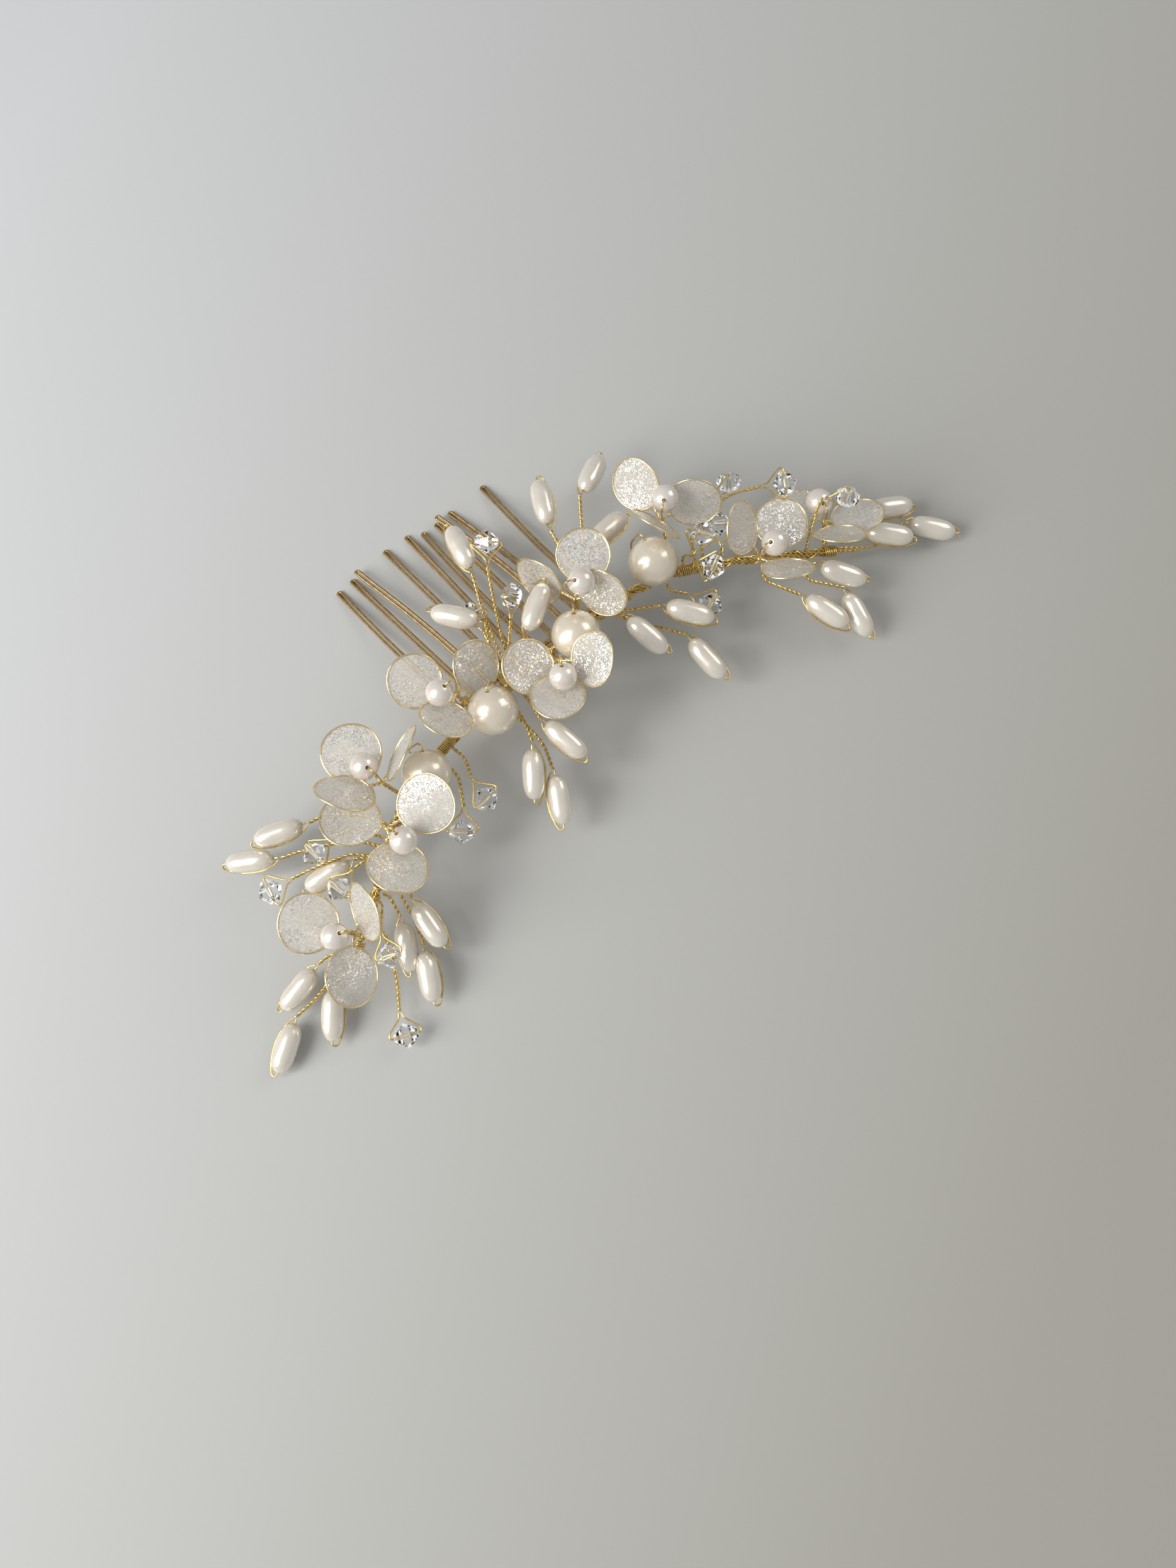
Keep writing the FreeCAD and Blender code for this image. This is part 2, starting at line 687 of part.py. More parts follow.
# ---------------------------------------------------------------- large pearls

# Large pearls: each one's middle, the bearing and lift of its bore, and the side where its wire goes down.
LARGE = [
    ((29.9, -1.6, 17.2), 80, 40, 100),
    ((8.4, -4.2, 17.3), 60, 50, 60),
    ((-13.9, -6.4, 17.2), 70, 54, 40),
    ((-31.7, -8.4, 16.8), 60, 40, 90),
]


def make_large_pearls():
    beads, wires = [], []
    for number, (middle, bearing, lift, side) in enumerate(LARGE, start=1):
        middle = Vec(*middle)
        bore = heading(bearing, lift)
        ball = size("large_pearl")
        strand = size("strand_radius")
        place = FreeCAD.Placement(middle, FreeCAD.Rotation(UP, bore))
        beads.append(copy_of(large_pearl, "large_pearl_%d" % number, place))
        flat = heading(side)
        top = middle + bore * (ball + 0.7)
        edge = middle + flat * (ball + 0.9) + UP * 0.5
        over = top + flat * 1.2 - UP * 0.2
        low = edge - UP * 0.7 * ball
        route = [seat_on_vine(low), low, edge, over, top, middle - bore * (ball - 0.3)]
        wires.append(feature("large_pearl_wire_%d" % number, wire_solid(route, strand)))
    node("large_pearls", beads)
    node("large_pearl_wires", wires)


# ---------------------------------------------------------------- assembly

STEMS = {"left": [], "middle": [], "right": []}
make_bar()
make_teeth()
make_vine()
make_bindings()
make_lashings()
make_rice()
make_crystals()
for wing, stems in STEMS.items():
    node("stems_" + wing, stems)
in_flowers = [make_flower(number, *flower) for number, flower in enumerate(FLOWERS, start=1)]
for name, members in zip(("flower_pearls", "flower_pearl_wires", "flower_stalks"), zip(*in_flowers)):
    node(name, list(members))
make_large_pearls()
doc.recompute()

# The origin is under the middle of the whole comb's box, on the surface that it lies on.
whole = FreeCAD.BoundBox()
for made in nodes:
    whole.add(made.Shape.optimalBoundingBox(False, False))
shift = Vec(-whole.Center.x, -whole.Center.y, -whole.ZMin)
for made in nodes:
    made.setExpression("Placement.Base.z", None)
    made.Placement.Base = made.Placement.Base + shift
doc.recompute()

for made in doc.Objects:
    if "Invalid" in made.State or "Error" in made.State:
        raise RuntimeError("%s did not build: %s" % (made.Name, made.State))
os.makedirs("parts", exist_ok=True)
for made in nodes:
    if made.Shape.isNull() or not made.Shape.isValid():
        raise RuntimeError(made.Label + " has no valid shape")
    made.Shape.exportStep("parts/%s.step" % made.Label)

print(len(nodes), "nodes", sum(len(made.Shape.Solids) for made in nodes), "solids")
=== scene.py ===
import math
import random

import bmesh
import bpy
from mathutils import Matrix, Vector, noise


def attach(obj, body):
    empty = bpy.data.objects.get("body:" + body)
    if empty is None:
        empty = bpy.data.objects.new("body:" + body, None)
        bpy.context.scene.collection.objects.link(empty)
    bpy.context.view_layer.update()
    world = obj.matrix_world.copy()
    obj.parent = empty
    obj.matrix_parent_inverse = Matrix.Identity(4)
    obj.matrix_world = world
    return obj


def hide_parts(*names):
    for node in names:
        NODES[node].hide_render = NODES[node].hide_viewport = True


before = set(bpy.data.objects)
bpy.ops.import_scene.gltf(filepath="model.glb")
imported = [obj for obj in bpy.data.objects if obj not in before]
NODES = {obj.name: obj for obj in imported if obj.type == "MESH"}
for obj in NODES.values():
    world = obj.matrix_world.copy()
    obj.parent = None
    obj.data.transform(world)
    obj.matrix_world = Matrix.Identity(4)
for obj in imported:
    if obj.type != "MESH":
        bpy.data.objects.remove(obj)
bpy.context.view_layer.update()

# The looks of a wire hair comb: twisted gold stems, a bound vine, pearls, film petals and cut crystals, each
# laid where the construction's own pieces are. Lengths are in metres, and colours are linear.

MM = 0.001
UP = Vector((0, 0, 1))
TURN = 2 * math.pi
WINGS = ("left", "middle", "right")
FLOWER_COUNT = 9

# Sizes that the construction's pieces have too.
STRAND = 0.18 * MM
BINDING_WIRE = 0.15 * MM
RIM_WIRE = 0.19 * MM
VINE_RADIUS = 0.9 * MM
STALK_RADIUS = 0.45 * MM
KNOT_RADIUS = 0.65 * MM
PEARL_BORE = 0.35 * MM


# ---------------------------------------------------------------- reading the construction's pieces


MERGE = 0.0004 * MM
SHARP = math.radians(35)


def connected(seeds, neighbours):
    """Groups of things that hang together, in the order in which they are found."""
    groups = []
    seen = set()
    for seed in seeds:
        if seed in seen:
            continue
        group = [seed]
        seen.add(seed)
        for member in group:
            for other in neighbours(member):
                if other not in seen:
                    seen.add(other)
                    group.append(other)
        groups.append(group)
    return groups


def solids(node):
    """A merged copy of a CAD node's mesh, and its separate solids, each as its vertices."""
    skin = bmesh.new()
    skin.from_mesh(NODES[node].data)
    bmesh.ops.remove_doubles(skin, verts=skin.verts, dist=MERGE)
    return skin, connected(skin.verts, lambda vert: [e.other_vert(vert) for e in vert.link_edges])


def middle_of(verts):
    return sum((v.co for v in verts), Vector()) / len(verts)


def sharp_rings(group):
    """Loops of sharp edges on a solid: the rims of a wire's ends, or of a bead's bore."""
    beside = {}
    for vert in group:
        for edge in vert.link_edges:
            if edge.is_manifold and edge.calc_face_angle() > SHARP:
                beside.setdefault(vert, []).append(edge.other_vert(vert))
    return connected(beside, beside.get)


def centre_line(group):
    """Middle line of a wire, from one end to the other, found ring by ring along its skin."""
    layer = sharp_rings(group)[0]
    seen = set(layer)
    line = [middle_of(layer)]
    while layer:
        layer = {e.other_vert(v) for v in layer for e in v.link_edges} - seen
        seen |= layer
        if layer:
            line.append(middle_of(layer))
    return line


def bore_of(group):
    """The two ends of a bead's bore."""
    rings = sorted(sharp_rings(group), key=len)[-2:]
    return middle_of(rings[0]), middle_of(rings[1])


def nearest(line, place):
    """Number of the point of a line that lies nearest to a place."""
    return min(range(len(line)), key=lambda i: (line[i] - place).length)


# ---------------------------------------------------------------- wire


# A line's own end is kept as a point where it lies more than this share of a step past the one before it.
END_SHARE = 0.3
# An uneven winding sways over about this many of its pitches.
SWAY_PITCHES = 2.2
WIRE_FACETS = 2


def even_line(line, step):
    """The same line with its points a step apart."""
    points = [line[0].copy()]
    spare = 0.0
    for a, b in zip(line, line[1:]):
        run = (b - a).length
        along = step - spare
        while along < run:
            points.append(a.lerp(b, along / run))
            along += step
        spare = (run - (along - step)) if run else spare
    if (points[-1] - line[-1]).length > step * END_SHARE:
        points.append(line[-1].copy())
    return points


def eased(line, rounds):
    """The same line with its corners smoothed and its ends kept."""
    for _ in range(rounds):
        inner = [(a + b * 2 + c) / 4 for a, b, c in zip(line, line[1:], line[2:])]
        line = [line[0]] + inner + [line[-1]]
    return line


def carried(line):
    """Direction, side and over at each point of a line, with no twist of their own."""
    frames = []
    side = None
    for i in range(len(line)):
        ahead = (line[min(i + 1, len(line) - 1)] - line[max(i - 1, 0)]).normalized()
        if side is None:
            side = ahead.orthogonal()
        side = (side - ahead * side.dot(ahead)).normalized()
        frames.append((ahead, side, ahead.cross(side)))
    return frames


def wound(line, strands, offset, pitch, start=0.0, sway=0.0, seed=0.0):
    """Lines of strands that wind round a line, a little unevenly where sway is set."""
    lines = [[] for _ in range(strands)]
    run = 0.0
    for i, (point, (_, side, over)) in enumerate(zip(line, carried(line))):
        if i:
            run += (point - line[i - 1]).length
        turn = start + TURN * run / pitch
        turn += sway * noise.noise(Vector((run / (SWAY_PITCHES * pitch), seed, 0)))
        for number, strand in enumerate(lines):
            angle = turn + TURN * number / strands
            strand.append(point + (side * math.cos(angle) + over * math.sin(angle)) * offset)
    return lines


def new_object(name, data):
    made = bpy.data.objects.new(name, data)
    bpy.context.scene.collection.objects.link(made)
    return made


def visible_piece(name, data, material, replaced):
    """A piece that rides on the comb, in the place of the CAD nodes that it replaces."""
    data.materials.append(material)
    piece = new_object(name, data)
    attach(piece, "comb")
    if replaced:
        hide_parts(*replaced)
    return piece


def wire_piece(name, lines, radius, material, replaced=(), closed=False):
    """One piece made of round wires."""
    curve = bpy.data.curves.new(name, "CURVE")
    curve.dimensions = "3D"
    curve.bevel_depth = radius
    curve.bevel_resolution = WIRE_FACETS
    curve.use_fill_caps = True
    for line in lines:
        spline = curve.splines.new("POLY")
        spline.points.add(len(line) - 1)
        for knot, point in zip(spline.points, line):
            knot.co = (*point, 1.0)
        spline.use_cyclic_u = closed
        spline.use_smooth = True
    return visible_piece(name, curve, material, replaced)


def smooth_mesh_piece(name, made, material, replaced):
    """One smoothly shaded piece made of a bmesh, which is used up."""
    bmesh.ops.recalc_face_normals(made, faces=made.faces)
    for face in made.faces:
        face.smooth = True
    mesh = bpy.data.meshes.new(name)
    made.to_mesh(mesh)
    made.free()
    return visible_piece(name, mesh, material, replaced)


# ---------------------------------------------------------------- shader effects that several finishes share


# Places of the colour sockets on a Mix node.
MIX_FIRST = 6
MIX_SECOND = 7
MIX_RESULT = 2

BLANK = (1, 1, 1, 1)
FULL_RANGE = (0.0, 1.0)

# Patterns are in cycles to the metre. A range says between which values a pattern fades, or what it sets.
GOLD_PATCHES = 900.0
GOLD_MARKS = 9000.0
GOLD_PATCH_FADE = (0.35, 0.68)
GOLD_DULL_FADE = (0.3, 0.75)
GOLD_DULLING = (0.0, 0.16)

PEARL_CLOUDS = 420.0
PEARL_SKIN = 520.0
PEARL_CLOUD_FADE = (0.38, 0.66)
PEARL_SKIN_FADE = (0.3, 0.7)
PEARL_ROUGHNESS = (0.22, 0.28)

FLAKE_CELLS = 5600.0
FLAKE_DRIFT = 170.0
FLAKE_DRIFT_FADE = (0.36, 0.62)
FLAKE_DENSITY = (0.62, 1.15)
FLAKE_FADE = (0.55, 0.72)
FILM_ALPHA_FADE = (0.3, 0.7)
FILM_ALPHA = (0.36, 0.85)
CELL_MIDDLE = (0.5, 0.5, 0.5)


def effect(name, inputs, outputs):
    """Empty node group with named sockets, and its two ends."""
    tree = bpy.data.node_groups.new(name, "ShaderNodeTree")
    for label, kind, default in inputs:
        socket = tree.interface.new_socket(label, in_out="INPUT", socket_type="NodeSocket" + kind)
        socket.default_value = default
    for label, kind in outputs:
        tree.interface.new_socket(label, in_out="OUTPUT", socket_type="NodeSocket" + kind)
    return tree, tree.nodes.new("NodeGroupInput"), tree.nodes.new("NodeGroupOutput")


def feed(tree, socket, value):
    """Links a socket's value in, or sets it where it is a constant."""
    if isinstance(value, bpy.types.NodeSocket):
        tree.links.new(value, socket)
    else:
        socket.default_value = value


def texture(tree, kind, places, **values):
    made = tree.nodes.new("ShaderNodeTex" + kind)
    for label, value in values.items():
        made.inputs[label].default_value = value
    tree.links.new(places, made.inputs["Vector"])
    return made


def blend_colour(tree, share, first, second):
    made = tree.nodes.new("ShaderNodeMix")
    made.data_type = "RGBA"
    tree.links.new(share, made.inputs["Factor"])
    feed(tree, made.inputs[MIX_FIRST], first)
    feed(tree, made.inputs[MIX_SECOND], second)
    return made.outputs[MIX_RESULT]


def remap(tree, value, taken, given=FULL_RANGE):
    """Fades a value from one range into another, and holds it at the ends."""
    made = tree.nodes.new("ShaderNodeMapRange")
    made.inputs["From Min"].default_value = taken[0]
    made.inputs["From Max"].default_value = taken[1]
    made.inputs["To Min"].default_value = given[0]
    made.inputs["To Max"].default_value = given[1]
    tree.links.new(value, made.inputs["Value"])
    return made.outputs["Result"]


def number_step(tree, operation, first, second):
    made = tree.nodes.new("ShaderNodeMath")
    made.operation = operation
    tree.links.new(first, made.inputs[0])
    tree.links.new(second, made.inputs[1])
    return made.outputs[0]


def vector_step(tree, operation, first, second=None, socket=1):
    made = tree.nodes.new("ShaderNodeVectorMath")
    made.operation = operation
    tree.links.new(first, made.inputs[0])
    if second is not None:
        feed(tree, made.inputs[socket], second)
    return made.outputs["Vector"]


def make_plating_effect():
    """Gold plating: warm and pale patches, dull spots where it has been handled, and fine drawing marks."""
    tree, start, end = effect(
        "plating",
        [("Bright", "Color", BLANK), ("Deep", "Color", BLANK), ("Gloss", "Float", 0.2)],
        [("Colour", "Color"), ("Roughness", "Float"), ("Height", "Float")],
    )
    places = tree.nodes.new("ShaderNodeTexCoord").outputs["Object"]
    patches = texture(tree, "Noise", places, Scale=GOLD_PATCHES, Detail=3.0, Roughness=0.6)
    marks = texture(tree, "Noise", places, Scale=GOLD_MARKS, Detail=2.0)
    share = remap(tree, patches.outputs["Fac"], GOLD_PATCH_FADE)
    colour = blend_colour(tree, share, start.outputs["Bright"], start.outputs["Deep"])
    dull = remap(tree, patches.outputs["Fac"], GOLD_DULL_FADE, GOLD_DULLING)
    rough = number_step(tree, "ADD", dull, start.outputs["Gloss"])
    tree.links.new(colour, end.inputs["Colour"])
    tree.links.new(rough, end.inputs["Roughness"])
    tree.links.new(marks.outputs["Fac"], end.inputs["Height"])
    return tree


def make_lustre_effect():
    """Pearl coating: cloudy drifts in the colour, and a skin that is very slightly uneven."""
    tree, start, end = effect(
        "lustre",
        [("Body", "Color", BLANK), ("Drift", "Color", BLANK)],
        [("Colour", "Color"), ("Roughness", "Float"), ("Height", "Float")],
    )
    places = tree.nodes.new("ShaderNodeTexCoord").outputs["Object"]
    clouds = texture(tree, "Noise", places, Scale=PEARL_CLOUDS, Detail=4.0, Roughness=0.55)
    skin = texture(tree, "Noise", places, Scale=PEARL_SKIN, Detail=0.0)
    share = remap(tree, clouds.outputs["Fac"], PEARL_CLOUD_FADE)
    colour = blend_colour(tree, share, start.outputs["Body"], start.outputs["Drift"])
    rough = remap(tree, skin.outputs["Fac"], PEARL_SKIN_FADE, PEARL_ROUGHNESS)
    tree.links.new(colour, end.inputs["Colour"])
    tree.links.new(rough, end.inputs["Roughness"])
    tree.links.new(skin.outputs["Fac"], end.inputs["Height"])
    return tree


def make_glitter_effect():
    """Glitter in a clear film: small flakes that each lie at their own angle, thinly spread in places."""
    tree, start, end = effect(
        "glitter",
        [("Film", "Color", BLANK), ("Flake", "Color", BLANK), ("Tilt", "Float", 0.5)],
        [("Colour", "Color"), ("Flakes", "Float"), ("Alpha", "Float"), ("Normal", "Vector")],
    )
    places = tree.nodes.new("ShaderNodeTexCoord").outputs["Object"]
    cells = texture(tree, "Voronoi", places, Scale=FLAKE_CELLS)
    drift = texture(tree, "Noise", places, Scale=FLAKE_DRIFT, Detail=1.5, Roughness=0.45)
    parts = tree.nodes.new("ShaderNodeSeparateColor")
    tree.links.new(cells.outputs["Color"], parts.inputs["Color"])
    density = remap(tree, drift.outputs["Fac"], FLAKE_DRIFT_FADE, FLAKE_DENSITY)
    bright = number_step(tree, "MULTIPLY", parts.outputs["Red"], density)
    flakes = remap(tree, bright, FLAKE_FADE)
    colour = blend_colour(tree, flakes, start.outputs["Film"], start.outputs["Flake"])
    alpha = remap(tree, bright, FILM_ALPHA_FADE, FILM_ALPHA)

    facing = tree.nodes.new("ShaderNodeNewGeometry").outputs["Normal"]
    centred = vector_step(tree, "SUBTRACT", cells.outputs["Color"], CELL_MIDDLE)
    tilted = vector_step(tree, "SCALE", centred, start.outputs["Tilt"], "Scale")
    leaned = vector_step(tree, "ADD", facing, tilted)

    tree.links.new(colour, end.inputs["Colour"])
    tree.links.new(flakes, end.inputs["Flakes"])
    tree.links.new(alpha, end.inputs["Alpha"])
    tree.links.new(vector_step(tree, "NORMALIZE", leaned), end.inputs["Normal"])
    return tree


# ---------------------------------------------------------------- finishes


GOLD_RELIEF = 0.0008 * MM
PEARL_RELIEF = 0.002 * MM


def finish_with(name, tree, **inputs):
    """Material whose shader is fed by an effect; returns the material, its shader and the effect's node."""
    material = bpy.data.materials.new(name)
    material.use_nodes = True
    nodes = material.node_tree.nodes
    shader = nodes["Principled BSDF"]
    source = nodes.new("ShaderNodeGroup")
    source.node_tree = tree
    for label, value in inputs.items():
        source.inputs[label].default_value = value
    return material, shader, source


def join(material, source, shader, **pairs):
    """Links the effect's outputs to the shader's sockets, which are named with _ for a space."""
    for label, output in pairs.items():
        material.node_tree.links.new(source.outputs[output], shader.inputs[label.replace("_", " ")])


def bump(material, source, shader, depth):
    made = material.node_tree.nodes.new("ShaderNodeBump")
    made.inputs["Distance"].default_value = depth
    made.inputs["Strength"].default_value = 1.0
    material.node_tree.links.new(source.outputs["Height"], made.inputs["Height"])
    material.node_tree.links.new(made.outputs["Normal"], shader.inputs["Normal"])


def make_gold(name, bright, deep, gloss):
    material, shader, source = finish_with(name, PLATING, Bright=bright, Deep=deep, Gloss=gloss)
    join(material, source, shader, Base_Color="Colour", Roughness="Roughness")
    shader.inputs["Metallic"].default_value = 1.0
    bump(material, source, shader, GOLD_RELIEF)
    return material


def make_pearl(name, body, drift):
    material, shader, source = finish_with(name, LUSTRE, Body=body, Drift=drift)
    join(material, source, shader, Base_Color="Colour", Roughness="Roughness")
    shader.inputs["Metallic"].default_value = 0.42
    shader.inputs["Specular IOR Level"].default_value = 0.7
    shader.inputs["Coat Weight"].default_value = 1.0
    shader.inputs["Coat Roughness"].default_value = 0.05
    bump(material, source, shader, PEARL_RELIEF)
    return material


def make_film(name, film, flake, tilt):
    material, shader, source = finish_with(name, GLITTER, Film=film, Flake=flake, Tilt=tilt)
    join(material, source, shader, Base_Color="Colour", Metallic="Flakes", Alpha="Alpha", Normal="Normal")
    shader.inputs["Roughness"].default_value = 0.3
    shader.inputs["Coat Weight"].default_value = 0.3
    shader.inputs["Coat Roughness"].default_value = 0.12
    return material


def make_crystal():
    material = bpy.data.materials.new("cut_crystal")
    material.use_nodes = True
    shader = material.node_tree.nodes["Principled BSDF"]
    shader.inputs["Base Color"].default_value = (0.98, 0.985, 0.99, 1)
    shader.inputs["Roughness"].default_value = 0.015
    shader.inputs["IOR"].default_value = 1.48
    shader.inputs["Transmission Weight"].default_value = 1.0
    return material


PLATING = make_plating_effect()
LUSTRE = make_lustre_effect()
GLITTER = make_glitter_effect()
BRIGHT_GOLD = make_gold(
    "bright_gold_wire", bright=(0.86, 0.66, 0.27, 1), deep=(0.62, 0.44, 0.15, 1), gloss=0.15
)
PALE_GOLD = make_gold("pale_gold_rim", bright=(0.93, 0.8, 0.52, 1), deep=(0.85, 0.66, 0.34, 1), gloss=0.2)
OLD_GOLD = make_gold("old_gold_comb", bright=(0.6, 0.42, 0.19, 1), deep=(0.34, 0.21, 0.08, 1), gloss=0.2)
IVORY = make_pearl("ivory_pearl", body=(0.9, 0.81, 0.67, 1), drift=(0.87, 0.77, 0.62, 1))
WHITE = make_pearl("white_pearl", body=(0.9, 0.83, 0.75, 1), drift=(0.87, 0.78, 0.7, 1))
CREAM = make_pearl("cream_rice_pearl", body=(0.9, 0.84, 0.73, 1), drift=(0.85, 0.78, 0.68, 1))
FILM = make_film("glitter_film", film=(0.82, 0.77, 0.68, 1), flake=(0.97, 0.96, 0.94, 1), tilt=0.6)
CRYSTAL = make_crystal()


# ---------------------------------------------------------------- comb, vine and stems


# Two strands twisted together, as every stem and rope of the vine is.
TWIST_PITCH = 2.2 * MM

STEM_STEP = 0.16 * MM
STEM_EASING = 6
STEM_SPREAD = 1.08 * STRAND
STEM_SWAY = 1.2

VINE_STEP = 0.2 * MM
VINE_EASING = 12
VINE_TAPER = 9 * MM
TAPER_STEPS = VINE_TAPER / VINE_STEP
TIP_SPREAD = 0.25
ROPE_COUNT = 5
ROPE_PITCH = 24 * MM
ROPE_SWAY = 2.5
ROPE_SEED = 3.0
ROPE_TWIST_SWAY = 1.0

# Loose wraps round the vine: the way each one turns, and its pitch.
WRAPS = ((1, 4.4 * MM), (-1, 6.1 * MM))
WRAP_RISE = 0.3 * STRAND
WRAP_SWAY = 4.0
WRAP_SEED = 5.0

BINDING_GAP = 1.2 * MM
BINDING_STEP = 0.02 * MM
BINDING_OVERRUN = 0.5
BINDING_SWAY = 0.8

STALK_STEP = 0.12 * MM
STALK_STRANDS = 3
STALK_PITCH = 3.0 * MM
KNOT_TURNS = 5
KNOT_STEPS = 20 * KNOT_TURNS
KNOT_HEIGHT = 1.7
# The coil of a knot follows this stretch of half a sine wave, so it swells in the middle.
KNOT_SWELL_START = 0.12
KNOT_SWELL_LENGTH = 0.76


def finish_node(node, material):
    """Gives a CAD piece that stays in view its finish."""
    mesh = NODES[node].data
    mesh.materials.clear()
    mesh.materials.append(material)


def make_stems():
    """Every bead's stem is a pair of wires twisted together."""
    for wing in WINGS:
        node = "stems_" + wing
        skin, groups = solids(node)
        lines = []
        for number, group in enumerate(groups):
            line = eased(even_line(centre_line(group), STEM_STEP), STEM_EASING)
            lines += wound(line, 2, STEM_SPREAD, TWIST_PITCH, number, STEM_SWAY, number)
        skin.free()
        wire_piece("twisted_stems_" + wing, lines, STRAND, BRIGHT_GOLD, [node])


def vine_line():
    skin, groups = solids("vine_core")
    line = eased(even_line(centre_line(groups[0]), VINE_STEP), VINE_EASING)
    skin.free()
    return line


def steps_left_out(number, stride):
    """How many steps short of a tip a rope ends, so that the ropes end one after another."""
    return int(TAPER_STEPS * (number * stride % ROPE_COUNT) / (ROPE_COUNT - 1))


def make_vine(line):
    """The stems' ends run together as a bundle of twisted pairs that thins out towards the wings' tips."""
    lines = []
    ropes = wound(line, ROPE_COUNT, VINE_RADIUS - 2 * STRAND, ROPE_PITCH, 0.0, ROPE_SWAY, ROPE_SEED)
    for number, rope in enumerate(ropes):
        gathered = []
        for i, (core, point) in enumerate(zip(line, rope)):
            spread = min(1.0, TIP_SPREAD + min(i, len(line) - 1 - i) * VINE_STEP / VINE_TAPER)
            gathered.append(core.lerp(point, spread))
        kept = gathered[steps_left_out(number, 2) : len(gathered) - steps_left_out(number, 3)]
        lines += wound(kept, 2, STRAND, TWIST_PITCH, number, ROPE_TWIST_SWAY, number)
    inner = line[int(TAPER_STEPS) : -int(TAPER_STEPS)]
    for way, pitch in WRAPS:
        lines += wound(inner, 1, VINE_RADIUS + WRAP_RISE, way * pitch, 0.0, WRAP_SWAY, WRAP_SEED + way)
    wire_piece("vine_bundle", lines, STRAND, BRIGHT_GOLD, ["vine_core"])


def make_bindings(line):
    """Thin wire wound on the vine wherever the construction has turns of it."""
    for wing in WINGS:
        node = "vine_binding_" + wing
        skin, groups = solids(node)
        places = sorted((middle_of(g) for g in groups), key=lambda p: p.x)
        skin.free()
        stretches = [[places[0]]]
        for place in places[1:]:
            if (place - stretches[-1][-1]).length > BINDING_GAP:
                stretches.append([])
            stretches[-1].append(place)
        coils = []
        for number, stretch in enumerate(stretches):
            first = nearest(line, stretch[0])
            last = nearest(line, stretch[-1])
            core = even_line(line[max(first - 1, 0) : last + 2], BINDING_STEP)
            pitch = BINDING_STEP * len(core) / (len(stretch) + BINDING_OVERRUN)
            coils += wound(core, 1, VINE_RADIUS + BINDING_WIRE, pitch, number, BINDING_SWAY, number)
        wire_piece("binding_coils_" + wing, coils, BINDING_WIRE, BRIGHT_GOLD, [node])


def knot_coil(knot, axis, start):
    """Line of the wire that is wound into a knot."""
    side = axis.orthogonal().normalized()
    over = axis.cross(side)
    coil = []
    for i in range(KNOT_STEPS + 1):
        share = i / KNOT_STEPS
        angle = TURN * KNOT_TURNS * share + start
        reach = (KNOT_RADIUS - STRAND) * math.sin(math.pi * (KNOT_SWELL_START + KNOT_SWELL_LENGTH * share))
        lift = (share - 0.5) * KNOT_HEIGHT * (KNOT_RADIUS - STRAND)
        coil.append(knot + axis * lift + (side * math.cos(angle) + over * math.sin(angle)) * reach)
    return coil


def make_stalks():
    """Flower stalks are three wires twisted together, wound into a small knot under the petals."""
    skin, groups = solids("flower_stalks")
    lines = []
    for number, group in enumerate(groups):
        foot, neck = sorted((middle_of(ring) for ring in sharp_rings(group)), key=lambda p: p.z)[:2]
        axis = (neck - foot).normalized()
        top = max(v.co.dot(axis) for v in group) - foot.dot(axis)
        knot = foot + axis * (top - KNOT_RADIUS)
        core = even_line([foot, knot], STALK_STEP)
        lines += wound(core, STALK_STRANDS, STALK_RADIUS - STRAND, STALK_PITCH, number)
        lines.append(knot_coil(knot, axis, number))
    skin.free()
    wire_piece("flower_stalk_twists", lines, STRAND, BRIGHT_GOLD, ["flower_stalks"])


# ---------------------------------------------------------------- beads


POLE = 0.99999
BEAD_WOBBLE = 0.012
BEAD_WOBBLE_SCALE = 1.3
BEAD_SEED_STEP = 3.1
BRIM_RADIUS = 1.2 * PEARL_BORE
THROAT_DEPTH = 0.12 * MM


def draw_in(verts, radius, height=1.0):
    """Sets vertices on a ring about the bead's axis, at a share of their height."""
    for vert in verts:
        flat = vert.co.xy.normalized() * radius
        vert.co = Vector((flat.x, flat.y, vert.co.z * height))


def add_bead(mesh, ends, girth, seed, rings, sides, fullness):
    """Adds a bead between the ends of its bore, with the bore open; fullness over 1 gives blunter ends."""
    low, high = ends
    axis = (high - low).normalized()
    half = (high - low).length / 2
    made = bmesh.ops.create_uvsphere(mesh, u_segments=sides, v_segments=rings, radius=1.0)
    poles = [v for v in made["verts"] if abs(v.co.z) > POLE]
    verts = [v for v in made["verts"] if v not in poles]
    bmesh.ops.delete(mesh, geom=poles, context="VERTS")
    for vert in verts:
        wobble = 1 + BEAD_WOBBLE * noise.noise(vert.co * BEAD_WOBBLE_SCALE + Vector((seed, 0, 0)))
        width = girth * wobble * (1 - abs(vert.co.z) ** (2 * fullness)) ** 0.5 / vert.co.xy.length
        vert.co = Vector((vert.co.x * width, vert.co.y * width, vert.co.z * half))
    edges = list({e for v in verts for e in v.link_edges if e.is_boundary})
    draw_in({v for e in edges for v in e.verts}, BRIM_RADIUS)
    grown = bmesh.ops.extrude_edge_only(mesh, edges=edges)["geom"]
    throat = [g for g in grown if isinstance(g, bmesh.types.BMVert)]
    draw_in(throat, PEARL_BORE, 1 - THROAT_DEPTH / half)
    bmesh.ops.bridge_loops(mesh, edges=[g for g in grown if isinstance(g, bmesh.types.BMEdge)])
    turn = UP.rotation_difference(axis).to_matrix().to_4x4()
    place = Matrix.Translation((low + high) / 2)
    bmesh.ops.transform(mesh, matrix=place @ turn, verts=verts + throat)


